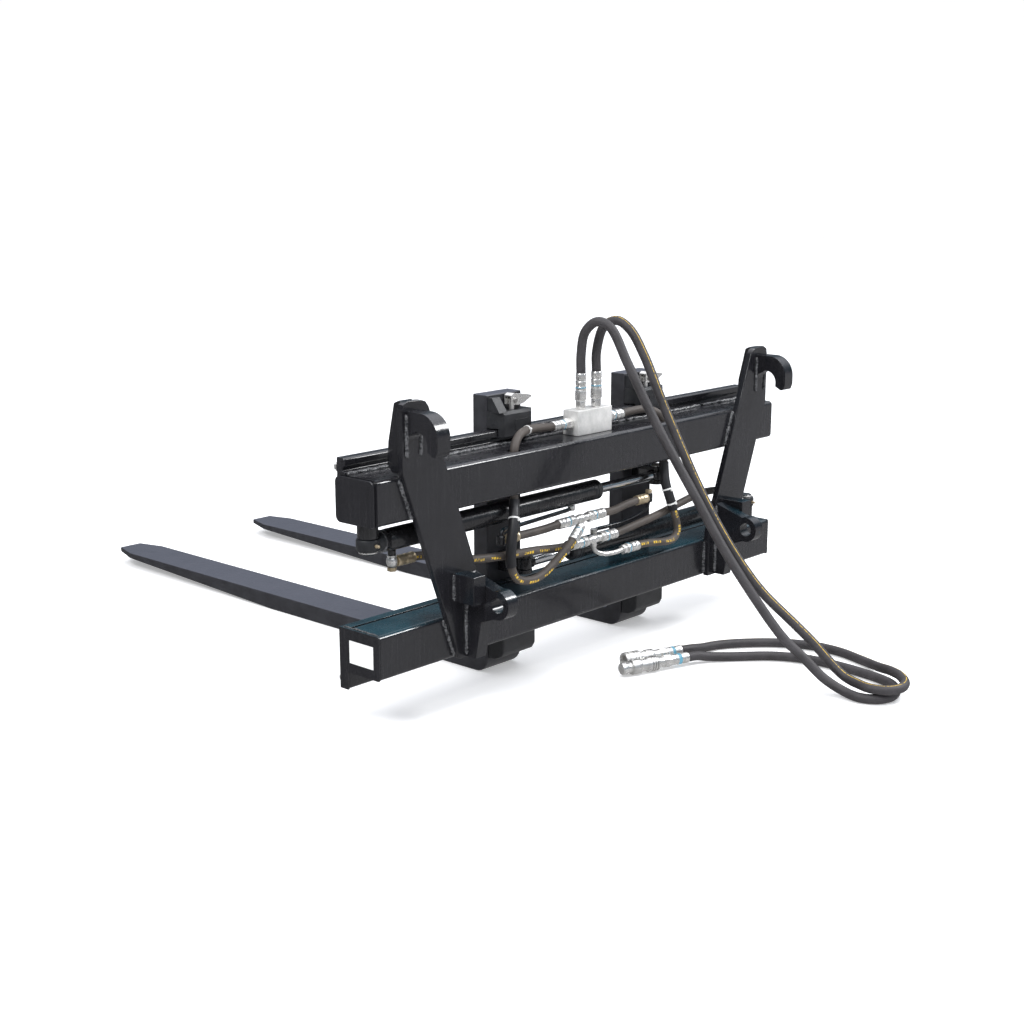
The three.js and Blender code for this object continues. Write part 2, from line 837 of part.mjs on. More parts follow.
const plugProfile = [
  [0, 2],
  [13.5, 2],
  [13.5, 50],
  [16, 50],
  [16, 74],
  [13, 74],
  [13, 90],
  [18, 90],
  [18, 122],
  [15, 126],
  [15, 138],
  [18.5, 142],
  [18.5, 166],
  [13.5, 168],
  [13.5, 180],
  [15, 182],
  [15, 193],
  [0, 195],
];
const socketProfile = [
  [0, 2],
  [13.5, 2],
  [13.5, 46],
  [16, 46],
  [16, 68],
  [13, 68],
  [13, 88],
  [17.5, 88],
  [17.5, 108],
  [15, 112],
  [15, 124],
  [19.5, 128],
  [20, 171],
  [14, 171],
  [14, 135],
  [0, 135],
];

function buildMainHoses() {
  for (const key of ["a", "b"])
    place("main_hose_" + key, hose(mainRoutes[key], mainHoseRadius, 58), hoseRubber);
  place("coupler_male", turned(plugProfile, mainRoutes.a.at(-1), [-184, 65, 0]), zinc);
  place("coupler_female", turned(socketProfile, mainRoutes.b.at(-1), [-160, 53, 0]), zinc);
}

buildBeams();
buildEndCaps();
buildMounting();
buildForks();
buildCylinders();
buildBlock();
buildFittings();
buildCircuitHoses();
buildMainHoses();

export default attachment;
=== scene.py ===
import bpy
import json
import math
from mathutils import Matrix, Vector

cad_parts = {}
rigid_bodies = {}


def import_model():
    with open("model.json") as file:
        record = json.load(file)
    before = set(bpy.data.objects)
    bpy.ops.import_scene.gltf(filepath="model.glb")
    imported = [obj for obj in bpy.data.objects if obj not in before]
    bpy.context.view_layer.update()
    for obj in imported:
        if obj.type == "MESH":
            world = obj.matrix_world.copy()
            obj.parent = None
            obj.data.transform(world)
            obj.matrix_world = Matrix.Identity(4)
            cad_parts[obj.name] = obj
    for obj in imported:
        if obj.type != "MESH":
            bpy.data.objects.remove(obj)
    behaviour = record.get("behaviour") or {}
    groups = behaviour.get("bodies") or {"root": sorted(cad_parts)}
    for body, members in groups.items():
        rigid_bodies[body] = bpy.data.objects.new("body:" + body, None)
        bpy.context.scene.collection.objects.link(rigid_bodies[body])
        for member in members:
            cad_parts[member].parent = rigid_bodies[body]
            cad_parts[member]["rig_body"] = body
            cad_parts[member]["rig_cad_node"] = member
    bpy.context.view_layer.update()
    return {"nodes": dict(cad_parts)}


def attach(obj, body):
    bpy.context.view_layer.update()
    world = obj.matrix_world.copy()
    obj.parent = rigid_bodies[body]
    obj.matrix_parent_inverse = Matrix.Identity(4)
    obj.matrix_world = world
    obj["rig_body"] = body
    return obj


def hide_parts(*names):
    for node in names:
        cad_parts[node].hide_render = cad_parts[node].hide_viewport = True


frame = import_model()
nodes = frame["nodes"]

midY = 0.78425 # the frame's own zero lies this far in front of the beams' back faces


def at(x, y, z):
    # millimetres, with y counted from the back faces of the beams
    return Vector((x / 1000, y / 1000 - midY, z / 1000))


# ---------- camera, light and floor ----------
view = {"place": (-2.842, -3.063, 1.2), "turn": (77.21, 0, -47.8), "lens": 53.58}


def makeCamera():
    turn = [math.radians(a) for a in view["turn"]]
    bpy.ops.object.camera_add(location=view["place"], rotation=turn)
    camera = bpy.context.object
    camera.data.lens = view["lens"]
    camera.data.sensor_width = 36
    bpy.context.scene.camera = camera


# ---------- shader helpers ----------
class Value:
    # one socket of a material, so that sums can be written as plain Python
    def __init__(self, shader, socket):
        self.shader = shader
        self.socket = socket

    def math(self, operation, other=0.0, swap=False):
        pair = (other, self) if swap else (self, other)
        return self.shader.node("ShaderNodeMath", {"operation": operation}, {0: pair[0], 1: pair[1]})

    def __add__(self, other):
        return self.math("ADD", other)

    def __radd__(self, other):
        return self.math("ADD", other)

    def __sub__(self, other):
        return self.math("SUBTRACT", other)

    def __rsub__(self, other):
        return self.math("SUBTRACT", other, swap=True)

    def __mul__(self, other):
        return self.math("MULTIPLY", other)

    def __rmul__(self, other):
        return self.math("MULTIPLY", other)

    def __gt__(self, other):
        return self.math("GREATER_THAN", other)

    def __lt__(self, other):
        return self.math("LESS_THAN", other)

    def __mod__(self, other):
        return self.math("FLOORED_MODULO", other)


def fillRamp(ramp, stops):
    while len(ramp.elements) < len(stops):
        ramp.elements.new(0.5)
    for element, (place, color) in zip(ramp.elements, stops):
        element.position = place
        element.color = (*color, 1)


class Shader:
    def __init__(self, name):
        self.material = bpy.data.materials.new(name)
        self.material.use_nodes = True
        self.tree = self.material.node_tree
        self.surface = self.tree.nodes["Principled BSDF"]

    def node(self, kind, settings=None, inputs=None, output=0):
        made = self.tree.nodes.new(kind)
        for key, value in (settings or {}).items():
            if key == "stops":
                fillRamp(made.color_ramp, value)
            else:
                setattr(made, key, value)
        for key, value in (inputs or {}).items():
            self.feed(made.inputs[key], value)
        return Value(self, made.outputs[output])

    def feed(self, socket, value):
        if isinstance(value, Value):
            self.tree.links.new(value.socket, socket)
        elif isinstance(value, tuple) and len(value) == 3 and socket.type == "RGBA":
            socket.default_value = (*value, 1)
        else:
            socket.default_value = value

    def set(self, **inputs):
        for key, value in inputs.items():
            self.feed(self.surface.inputs[key.replace("_", " ")], value)
        return self.material

    def place(self):
        return self.node("ShaderNodeTexCoord", output="Object")

    def noise(self, scale, detail=3, roughness=0.55, where=None):
        inputs = {"Vector": where or self.place(), "Scale": scale, "Detail": detail, "Roughness": roughness}
        return self.node("ShaderNodeTexNoise", None, inputs)

    def ramp(self, value, low, high, out=(0, 1)):
        inputs = {"Value": value, "From Min": low, "From Max": high, "To Min": out[0], "To Max": out[1]}
        return self.node("ShaderNodeMapRange", {"clamp": True}, inputs)

    def mix(self, factor, a, b):
        inputs = {"Factor": factor, 6: a, 7: b}
        return self.node("ShaderNodeMix", {"data_type": "RGBA"}, inputs, output=2)

    def bump(self, height, distance, strength=1.0, below=None):
        inputs = {"Height": height, "Distance": distance, "Strength": strength}
        if below:
            inputs["Normal"] = below
        return self.node("ShaderNodeBump", None, inputs)

    def facingUp(self):
        normal = self.node("ShaderNodeNewGeometry", output="Normal")
        split = self.node("ShaderNodeSeparateXYZ", None, {0: normal}, output="Z")
        return self.ramp(split, 0.4, 0.95)


# ---------- materials ----------
def glossPaint(name, tint, rough, sheenAndDustAmount=0.5):
    # enamel over mill steel: orange peel, runs and dull patches; upward faces get a painted sky reflection in
    # dusty patches
    s = Shader(name)
    patches = s.ramp(s.noise(9, 5, 0.6), 0.35, 0.7)
    fine = s.noise(260, 3, 0.6)
    grit = s.ramp(s.noise(900, 2, 0.5), 0.55, 0.75)
    # painted sheen: upward faces are lighter, in patches that also stand for dust
    upSheenAndDust = s.facingUp() * (0.35 + 0.65 * patches)
    base = s.mix(patches * 0.5, tint, tuple(c * 1.6 for c in tint))
    # a painted teal sky reflection lies on the lower beam's upward faces, and the upper beam's tops get a
    # painted grey sheen with dust
    low = s.node("ShaderNodeSeparateXYZ", None, {0: s.place()}, output="Z") < 0.4
    # painted reflection: teal pools of sky on the upward faces of the lower beam
    reflectionPools = s.ramp(s.noise(5, 3, 0.55), 0.44, 0.56) * s.facingUp() * low
    base = s.mix(upSheenAndDust * sheenAndDustAmount, base, s.mix(low, (0.035, 0.034, 0.04), (0.006, 0.03, 0.045)))
    base = s.mix(reflectionPools * sheenAndDustAmount, base, (0.004, 0.07, 0.1))
    streaked = s.node("ShaderNodeMapping", None, {"Vector": s.place(), "Scale": (60.0, 60.0, 3.0)})
    streaks = s.ramp(s.noise(2, 5, 0.7, streaked), 0.45, 0.75)
    base = s.mix(streaks * 0.22, base, (0.04, 0.038, 0.04))
    peel = s.bump(fine, 0.0006, 0.14)
    peel = s.bump(s.noise(45, 2, 0.5), 0.002, 0.3, peel)
    rough = rough + patches * 0.14 + grit * 0.1 + upSheenAndDust * 0.1 + streaks * 0.08
    s.set(Base_Color=base, Roughness=rough, Normal=peel)
    s.set(Coat_Weight=0.35, Coat_Roughness=0.08)
    return s.material


def forkPaint():
    # satin paint over forged bar: mill scale, long draw lines, and a painted bluish sky sheen on upward faces
    s = Shader("forkSatin")
    where = s.node("ShaderNodeMapping", None, {"Vector": s.place(), "Scale": (30.0, 2.5, 30.0)})
    lines = s.noise(4, 6, 0.65, where)
    scale = s.ramp(s.noise(35, 6, 0.7), 0.4, 0.7)
    up = s.facingUp()
    base = s.mix(scale, (0.022, 0.022, 0.026), (0.036, 0.037, 0.043))
    # painted sheen: upward faces lighter and bluish, as if lit by the sky
    base = s.mix(up * 0.8, base, (0.075, 0.08, 0.105))
    rough = 0.36 + scale * 0.16 + lines * 0.1
    relief = s.bump(s.noise(120, 5, 0.7), 0.0007, 0.45, s.bump(lines, 0.0012, 0.3))
    s.set(Base_Color=base, Roughness=rough, Normal=relief, Coat_Weight=0.15, Coat_Roughness=0.3)
    return s.material


def castPaint():
    s = Shader("castBlack")
    pits = s.noise(210, 5, 0.75)
    swell = s.noise(24, 3, 0.5)
    base = s.mix(s.ramp(swell, 0.35, 0.7), (0.012, 0.013, 0.015), (0.026, 0.027, 0.03))
    relief = s.bump(pits, 0.0016, 0.7, s.bump(swell, 0.003, 0.4))
    s.set(Base_Color=base, Roughness=0.3 + 0.2 * pits, Normal=relief, Coat_Weight=0.2, Coat_Roughness=0.2)
    return s.material


def weldPaint():
    s = Shader("paintedWeld")
    ripple = s.noise(160, 4, 0.6)
    # painted glints: the ripple crests are a lighter grey
    base = s.mix(s.ramp(ripple, 0.4, 0.7), (0.02, 0.021, 0.023), (0.16, 0.16, 0.165))
    s.set(Base_Color=base, Roughness=0.12 + 0.2 * ripple, Coat_Weight=0.5, Coat_Roughness=0.1)
    s.set(Normal=s.bump(ripple, 0.0012, 0.6))
    return s.material


def bareMetal(name, low, high, rough, brush=0.0, scale=(60.0, 60.0, 60.0), metallic=1.0):
    # plated or machined metal with stains and fine tooling lines
    s = Shader(name)
    where = s.node("ShaderNodeMapping", None, {"Vector": s.place(), "Scale": scale})
    lines = s.noise(8, 5, 0.6, where)
    stain = s.ramp(s.noise(38, 5, 0.65), 0.38, 0.72)
    base = s.mix(stain, high, low)
    rough = rough + stain * 0.16 + lines * 0.08
    s.set(Base_Color=base, Metallic=metallic, Roughness=rough)
    s.set(Normal=s.bump(lines, 0.0004, 0.25 + brush))
    return s.material


def hoseCover(name, stripe, dashed=False, tone=(0.026, 0.024, 0.026), onset=0.0):
    # cloth-wrapped rubber: fine spiral wrap marks, grey bloom and a printed line of dashes
    s = Shader(name)
    uv = s.node("ShaderNodeUVMap", {"uv_map": "along"})
    along = s.node("ShaderNodeSeparateXYZ", None, {0: uv}, output="X")
    around = s.node("ShaderNodeSeparateXYZ", None, {0: uv}, output="Y")
    wrap = (along * 260.0 + around) % 1.0
    weave = s.noise(900, 3, 0.6)
    ridge = s.ramp(wrap, 0.0, 0.25) - s.ramp(wrap, 0.75, 1.0)
    bloom = s.ramp(s.noise(14, 5, 0.65), 0.35, 0.75)
    base = s.mix(bloom, tone, tuple(c * 2.2 for c in tone))
    base = s.mix(s.ramp(weave, 0.45, 0.7) * 0.35, base, (0.11, 0.1, 0.098))
    if stripe:
        band = (around > stripe[0]) * (around < stripe[1])
        worn = s.ramp(s.noise(160, 4, 0.6), 0.38, 0.52)
        mark = band * worn * (along > onset)
        if dashed:
            mark = mark * ((along % 0.055) < 0.034) * ((along % 0.0085) < 0.0058)
        base = s.mix(mark, base, (0.7, 0.45, 0.03))
    relief = s.bump(ridge, 0.0004, 0.5, s.bump(weave, 0.0003, 0.6))
    s.set(Base_Color=base, Roughness=0.5 + 0.18 * bloom, Normal=relief)
    return s.material


def plainPlastic(name, color, rough):
    s = Shader(name)
    grain = s.noise(420, 3, 0.6)
    shade = s.mix(s.ramp(s.noise(18, 3, 0.6), 0.3, 0.75), color, tuple(c * 0.86 for c in color))
    s.set(Base_Color=shade, Roughness=rough + 0.12 * grain, Normal=s.bump(grain, 0.0003, 0.3))
    return s.material


def labelFilm():
    # a blank sticker with a plain outline and faint ruled lines
    s = Shader("blankLabelFilm")
    z = s.node("ShaderNodeSeparateXYZ", None, {0: s.place()}, output="Z")
    rows = ((z % 0.0078) < 0.0009) * s.ramp(s.noise(60, 2), 0.35, 0.5)
    base = s.mix(rows * 0.28, (0.86, 0.86, 0.84), (0.35, 0.36, 0.4))
    s.set(Base_Color=base, Roughness=0.32 + 0.1 * s.noise(90), Coat_Weight=0.3)
    return s.material


def floorMaterial():
    s = Shader("paleFloor")
    return s.set(Base_Color=(0.9, 0.9, 0.9), Roughness=0.9, Emission_Color=(1, 1, 1), Emission_Strength=0.35)


paints = {
    "frame": glossPaint("frameGloss", (0.010, 0.010, 0.012), 0.13),
    "plate": glossPaint("plateGloss", (0.009, 0.009, 0.011), 0.1, 0.3),
    "cylinder": glossPaint("cylinderGloss", (0.012, 0.012, 0.013), 0.16, 0.2),
    "fork": forkPaint(),
    "cast": castPaint(),
    "weld": weldPaint(),
    "zinc": bareMetal("zincPlate", (0.7, 0.69, 0.66), (0.95, 0.94, 0.92), 0.2, -0.17, metallic=0.85),
    "chrome": bareMetal("rodChrome", (0.62, 0.63, 0.64), (0.78, 0.79, 0.8), 0.07, 0.0, (4.0, 90.0, 90.0)),
    "brass": bareMetal("yellowPassivate", (0.42, 0.33, 0.2), (0.72, 0.6, 0.42), 0.26, metallic=0.8),
    "alloy": bareMetal(
        "millAlloy", (0.6, 0.6, 0.58), (0.8, 0.79, 0.77), 0.34, 0.2, (60.0, 60.0, 500.0), 0.25
    ),
    "steel": bareMetal("bareSteel", (0.3, 0.29, 0.28), (0.56, 0.55, 0.53), 0.3),
    "hose": hoseCover("hoseCover", None),
    "circuit": hoseCover("circuitHoseCover", None, False, (0.046, 0.038, 0.032)),
    "printed": hoseCover("printedHoseCover", (0.0, 0.1), True, (0.046, 0.038, 0.032)),
    "printedLow": hoseCover("printedLowHoseCover", (0.0, 0.1), True, (0.046, 0.038, 0.032), 0.36),
    "lined": hoseCover("linedHoseCover", (0.735, 0.757)),
    "sleeve": plainPlastic("blackSleeve", (0.018, 0.018, 0.02), 0.35),
    "tie": plainPlastic("whiteNylon", (0.78, 0.78, 0.76), 0.4),
    "mark": plainPlastic("blueMark", (0.12, 0.34, 0.46), 0.35),
    "label": labelFilm(),
}
print("materials ready")


# ---------- modelling helpers ----------
def pickNothing():
    if bpy.context.object and bpy.context.object.mode != "OBJECT":
        bpy.ops.object.mode_set(mode="OBJECT")
    bpy.ops.object.select_all(action="DESELECT")


def pick(piece):
    pickNothing()
    piece.select_set(True)
    bpy.context.view_layer.objects.active = piece


def applied(piece, kind, **settings):
    pick(piece)
    modifier = piece.modifiers.new(kind.title(), kind)
    for key, value in settings.items():
        setattr(modifier, key, value)
    bpy.ops.object.modifier_apply(modifier=modifier.name)


def finished(piece, name, paint, body, smooth=35):
    pick(piece)
    bpy.ops.object.transform_apply(location=True, rotation=True, scale=True)
    bpy.ops.object.shade_smooth_by_angle(angle=math.radians(smooth))
    piece.name = name
    piece.data.name = name
    piece.data.materials.clear()
    piece.data.materials.append(paints[paint])
    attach(piece, body)
    return piece


def joinedPieces(pieces):
    pickNothing()
    for piece in pieces:
        piece.select_set(True)
    bpy.context.view_layer.objects.active = pieces[0]
    bpy.ops.object.join()
    return bpy.context.object


def along(piece, start, direction):
    # stands a piece that was made along Z at a point, pointing along a direction
    piece.rotation_mode = "QUATERNION"
    piece.rotation_quaternion = Vector(direction).to_track_quat("Z", "Y")
    piece.location = start


def turnedPiece(profile, start, direction, sides=40, closed=False):
    # a ring drawn out and resized from station to station, as on a lathe: [radius, distance] in mm
    r, h = profile[0]
    pickNothing()
    bpy.ops.mesh.primitive_circle_add(vertices=sides, radius=r / 1000, fill_type="NOTHING")
    piece = bpy.context.object
    bpy.ops.object.mode_set(mode="EDIT")
    bpy.ops.mesh.select_all(action="SELECT")
    bpy.ops.transform.translate(value=(0, 0, h / 1000))
    if not closed:
        bpy.ops.mesh.edge_face_add()
    for nextR, nextH in profile[1:]:
        if closed:
            bpy.ops.mesh.extrude_edges_move()
        else:
            bpy.ops.mesh.extrude_region_move()
        if nextH != h:
            bpy.ops.transform.translate(value=(0, 0, (nextH - h) / 1000))
        if nextR != r:
            bpy.ops.transform.resize(value=(nextR / r, nextR / r, 1))
        r, h = nextR, nextH
    bpy.ops.mesh.select_all(action="SELECT")
    if closed:
        bpy.ops.mesh.remove_doubles(threshold=1e-6)
    bpy.ops.mesh.normals_make_consistent(inside=False)
    bpy.ops.object.mode_set(mode="OBJECT")
    along(piece, start, direction)
    return piece


def hexNut(start, direction, acrossFlats, height, bore=None):
    # a hexagon with its corners turned down at both ends
    r = acrossFlats / 2 / math.cos(math.pi / 6)
    profile = [(r * 0.93, 0), (r, height * 0.12), (r, height * 0.88), (r * 0.93, height)]
    nut = turnedPiece(profile, start, direction, 6)
    applied(nut, "BEVEL", width=0.0007, segments=2, limit_method="ANGLE", angle_limit=math.radians(25))
    return nut


def refinedNode(name, paint, bevel=1.2, segments=2, smooth=45):
    # a copy of a solid from the frame, merged, cleaned and given softly broken edges
    source = nodes[name]
    pick(source)
    piece = source.copy()
    piece.data = source.data.copy()
    bpy.context.scene.collection.objects.link(piece)
    piece.parent = None
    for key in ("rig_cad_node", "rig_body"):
        if key in piece:
            del piece[key]
    pick(piece)
    bpy.ops.object.mode_set(mode="EDIT")
    bpy.ops.mesh.select_all(action="SELECT")
    bpy.ops.mesh.remove_doubles(threshold=2e-5)
    bpy.ops.mesh.dissolve_limited(angle_limit=math.radians(1.5))
    bpy.ops.object.mode_set(mode="OBJECT")
    if bevel:
        applied(
            piece,
            "BEVEL",
            width=bevel / 1000,
            segments=segments,
            limit_method="ANGLE",
            angle_limit=math.radians(38),
            harden_normals=False,
            miter_outer="MITER_ARC",
        )
    body = source["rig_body"]
    finished(piece, name + "Finished", paint, body, smooth)
    applied(piece, "WEIGHTED_NORMAL", keep_sharp=True)
    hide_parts(name)
    return piece


def routePoints(stations, step=0.006):
    # a smooth line through the stations: centripetal spline, sampled evenly
    points = [Vector(p) for p in stations]
    points = [points[0] * 2 - points[1], *points, points[-1] * 2 - points[-2]]
    line = []
    for a, b, c, d in zip(points, points[1:], points[2:], points[3:]):
        t1 = (b - a).length ** 0.5
        t2 = t1 + (c - b).length ** 0.5
        t3 = t2 + (d - c).length ** 0.5
        count = max(2, round((c - b).length / step))
        for i in range(count):
            t = t1 + (t2 - t1) * i / count
            ab = a.lerp(b, t / t1)
            bc = b.lerp(c, (t - t1) / (t2 - t1))
            cd = c.lerp(d, (t - t2) / (t3 - t2))
            abc = ab.lerp(bc, t / t2)
            bcd = bc.lerp(cd, (t - t1) / (t3 - t1))
            line.append(abc.lerp(bcd, (t - t1) / (t2 - t1)))
    line.append(points[-2])
    return line


def tubeAlong(name, line, radius, sides=20, swell=None):
    # a round skin round a line, with a UV map that runs in metres along it and 0..1 round it
    mesh = bpy.data.meshes.new(name)
    turned = Vector((-0.7, -0.7, 0.2)) # the seam of the UV map starts on the side that is seen
    rings = []
    lengths = [0.0]
    for i, p in enumerate(line):
        before, after = line[max(i - 1, 0)], line[min(i + 1, len(line) - 1)]
        tangent = (after - before).normalized()
        turned = (turned - tangent * turned.dot(tangent)).normalized()
        other = tangent.cross(turned)
        if i:
            lengths.append(lengths[-1] + (p - line[i - 1]).length)
        for k in range(sides):
            angle = 2 * math.pi * k / sides
            wide = radius * (swell(i) if swell else 1)
            rings.append(p + wide * (math.cos(angle) * turned + math.sin(angle) * other))
    faces = []
    for i in range(len(line) - 1):
        for k in range(sides):
            a, b = i * sides + k, i * sides + (k + 1) % sides
            faces.append((a, b, b + sides, a + sides))
    last = (len(line) - 1) * sides
    faces.append(tuple(reversed(range(sides))))
    faces.append(tuple(range(last, last + sides)))
    mesh.from_pydata([tuple(p) for p in rings], [], faces)
    layer = mesh.uv_layers.new(name="along")
    for face in mesh.polygons[:-2]:
        i, k = divmod(face.index, sides)
        corners = [(i, k), (i, k + 1), (i + 1, k + 1), (i + 1, k)]
        for loop, (ring, turn) in zip(face.loop_indices, corners):
            layer.data[loop].uv = (lengths[ring], turn / sides)
    piece = bpy.data.objects.new(name, mesh)
    bpy.context.scene.collection.objects.link(piece)
    return piece, lengths[-1]


# ---------- the two free hoses ----------
mainHose = {
    "radius": 0.0115,
    "a": [
        (-17, 58, 712.6), (-17, 58, 760), (-15, 48, 812), (-7, 19, 838), (3, -12, 828), (13, -60, 744),
        (26, -108, 651), (37, -151, 574), (58, -231, 442), (76, -302, 325), (96, -377, 218), (116, -454, 122),
        (129, -503, 81), (142, -551, 39), (149, -600, 17), (147, -644, 11.8), (165, -680, 11.8),
        (200, -694, 11.8), (245, -683, 11.8), (280, -652, 11.8), (298, -608, 11.8), (308, -554, 11.8),
        (315, -480, 11.8), (308, -405, 11.8), (276, -333, 11.8), (190, -246, 11.8), (153, -217, 15),
        (128, -203.4, 19.8), (102, -194, 20.6),
    ],
    "b": [
        (37, 54, 712.6), (37, 54, 762), (42, 36, 822), (50, 2, 838), (57, -32, 818), (66, -70, 756),
        (76, -112, 661), (86, -156, 568), (98, -206, 466), (110, -264, 366), (126, -330, 270),
        (141, -379, 211), (160, -457, 146), (172, -506, 104), (181, -544, 66), (182, -583, 40),
        (170, -625, 35), (160, -664, 35), (173, -700, 35.5), (206, -715, 36), (246, -704, 36),
        (282, -674, 35.5), (316, -634, 30), (358, -572, 18), (394, -505, 11.8), (414, -436, 11.8),
        (412, -362, 11.8), (376, -283, 11.8), (312, -215, 11.8), (256, -177, 11.8), (205, -163, 13.5),
        (168, -160, 19.5), (135, -149, 20.6),
    ],
}


def makeMainHose(key, paint):
    line = routePoints([at(*p) for p in mainHose[key]])
    piece, length = tubeAlong("mainHose_" + key, line, mainHose["radius"])
    finished(piece, "mainHose_" + key, paint, "frame", 60)
    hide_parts("main_hose_" + key)
    print("hose", key, round(length, 3))


makeCamera()
print("camera ready")

# ---------- every solid of the frame, with broken edges ----------
finishes = {
    "lower_beam_tube": ("frame", "frame_paint", 0),
    "upper_beam_tube": ("frame", "frame_paint", 0),
    "lower_fork_bar": ("frame", "frame_paint", 1.5),
    "upper_fork_bar": ("frame", "frame_paint", 1.5),
    "end_cap_upper": ("frame", "frame_paint", 1),
    "end_cap_lower": ("frame", "frame_paint", 1),
    "side_plate": ("plate", "frame_paint", 1.6),
    "hook": ("plate", "frame_paint", 2),
    "rib": ("plate", "frame_paint", 1.6),
    "lug": ("plate", "frame_paint", 1.8),
    "stop_block": ("plate", "frame_paint", 1.6),
    "fork": ("fork", "fork_paint", 3),
    "top_hook": ("cast", "cast_paint", 3),
    "lower_hook": ("cast", "cast_paint", 4),
    "rod_clevis": ("cylinder", "cylinder_paint", 1.2),
    "latch_lever": ("zinc", "zinc", 0.6),
    "manifold_block": ("alloy", "block_alloy", 1.5),
}
for name in nodes:
    kind = name.removesuffix("_left").removesuffix("_right")
    if kind in finishes:
        paint, slot, bevel = finishes[kind]
        refinedNode(name, paint, bevel)
plainLooks = {"blank_label": "label", "latch_pin_left": "zinc", "latch_pin_right": "zinc"}
for name, paint in plainLooks.items():
    nodes[name].data.materials.clear()
    nodes[name].data.materials.append(paints[paint])
print("solids finished")


# ---------- round pieces ----------
def lathe(name, profile, start, direction, paint, slot, body="frame", sides=40, closed=False, smooth=35):
    stations = [*profile, profile[0]] if closed else profile
    piece = turnedPiece(stations, start, direction, sides, closed)
    return finished(piece, name, paint, body, smooth)


def nut(name, start, direction, acrossFlats, height, paint, slot, body="frame"):
    return finished(hexNut(start, direction, acrossFlats, height), name, paint, body, 25)


def crimped(length, radius):
    # a ferrule's outline: three pressed grooves between plain lands
    low = radius * 0.92
    lands = [(0, low), (0.03, radius), (0.2, radius), (0.23, low), (0.3, low), (0.33, radius)]
    lands += [(0.52, radius), (0.55, low), (0.62, low), (0.65, radius), (0.96, radius), (1, low)]
    return [(r, length * s) for s, r in lands]


# ---------- cylinders: drawn for the upper one, the lower one is turned half round about Y ----------
cylinder = {
    "y": 62,
    "z": {"upper": 415, "lower": 277},
    "turn": {"upper": 1, "lower": -1},
    "pin": -717,
    "barrel": (-683.7, 20),
    "piston": {"upper": -440, "lower": -470},
    "rodEye": {"upper": 300, "lower": 218},
    "rodBody": {"upper": "right_fork", "lower": "left_fork"},
    "fork": {"upper": "right", "lower": "left"},
}


def makeCylinder(level):
    turn = cylinder["turn"][level]
    lengthways = (turn, 0, 0)
    upward = (0, 0, turn)

    def spot(x, y=0, z=0):
        return at(turn * x, cylinder["y"] + y, cylinder["z"][level] + turn * z)

    start, end = cylinder["barrel"]
    length = end - start
    profile = [(20, 10), (20, length), (24.4, length), (25, length - 0.7), (25, 20), (24.2, 18.5)]
    profile += [(24.2, 9), (25, 7.5), (25, 1), (23.5, 0)]
    foot = spot(start)
    barrel = lathe("barrelTube_" + level, profile, foot, lengthways, "cylinder", "cylinder_paint", sides=64)
    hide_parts("barrel_" + level)
    profile = [(13.1, 0), (24.6, 0), (25, 0.6), (25, 12), (23.8, 12.8), (23.8, 15), (25, 15.8)]
    profile += [(25, 28.5), (24, 29.8), (19.5, 35), (13.8, 35), (13.1, 34)]
    nose = spot(end + 0.3)
    finish = ("cast", "cast_paint")
    gland = lathe("glandNose_" + level, profile, nose, lengthways, *finish, sides=56, closed=True)
    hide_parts("gland_" + level)
    profile = [(12.4, -14), (21, -14), (24.5, -12.5), (26, -9), (26, 9), (24.5, 12.5), (21, 14), (12.4, 14)]
    pin = cylinder["pin"]
    eye = lathe("baseEye_" + level, profile, spot(pin), upward, "cast", "cast_paint", sides=56, closed=True)
    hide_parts("base_eye_" + level)
    profile = [(11, 19), (14, 22), (15.5, 26), (19, 30), (22, 32), (22, 33)]
    lathe("baseNeck_" + level, profile, spot(pin), lengthways, "cast", "cast_paint")
    profile = [(14, -21), (17.5, -20.4), (19, -18.6), (19, -14.4), (12, -14.4), (12, 14.4), (22, 14.4)]
    profile += [(23, 15.2), (23, 48.7)]
    anchor = lathe("anchor_" + level, profile, spot(pin), upward, "cylinder", "frame_paint", sides=48)
    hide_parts("anchor_pin_" + level)
    washer = [(12.1, -17.8), (20.6, -17.8), (21, -17.4), (21, -15), (20.6, -14.6), (12.1, -14.6)]
    lathe("pinWasher_" + level, washer, spot(pin), upward, "zinc", "zinc", closed=True)
    weld = [(22.5, -1.2), (24.4, -0.9), (25.2, 0.6), (24.6, 2.2), (23, 2.6)]
    lathe("baseWeld_" + level, weld, spot(start), lengthways, "weld", "cylinder_paint", sides=48)

    body = cylinder["rodBody"][level]
    piston, tip = cylinder["piston"][level], cylinder["rodEye"][level]
    profile = [(19.5, 0), (19.5, 35), (12.5, 35), (12.5, tip - 17 - piston)]
    rod = lathe("rod_" + level, profile, spot(piston), lengthways, "chrome", "rod_chrome", body, 56)
    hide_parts("piston_rod_" + level)
    profile = [(10.4, -13.6), (17, -13.6), (19, -11.6), (19, 11.6), (17, 13.6), (10.4, 13.6)]
    lathe("rodEye_" + level, profile, spot(tip), upward, "cylinder", "cylinder_paint", body, 48, True)
    profile = [(12.6, -27), (14.6, -26), (15.4, -24.4), (15.4, -20), (13, -16), (12, -14)]
    lathe("rodCollar_" + level, profile, spot(tip), lengthways, "cylinder", "cylinder_paint", body, 40)
    # the clevis pin's silver head is on top on both forks
    head = at(turn * tip, cylinder["y"], cylinder["z"][level] + 22.6)
    profile = [(15.6, 0), (16, 0.4), (16, 2.2), (15.6, 2.6)]
    lathe("clevisWasher_" + level, profile, head, (0, 0, 1), "zinc", "zinc", body)
    profile = [(12.6, 2), (13.2, 3), (13.2, 5), (12, 6.4), (8, 7.2), (2, 7.5)]
    lathe("clevisHead_" + level, profile, head, (0, 0, 1), "steel", "zinc", body, 32)


for level in ("upper", "lower"):
    makeCylinder(level)
print("cylinders ready")

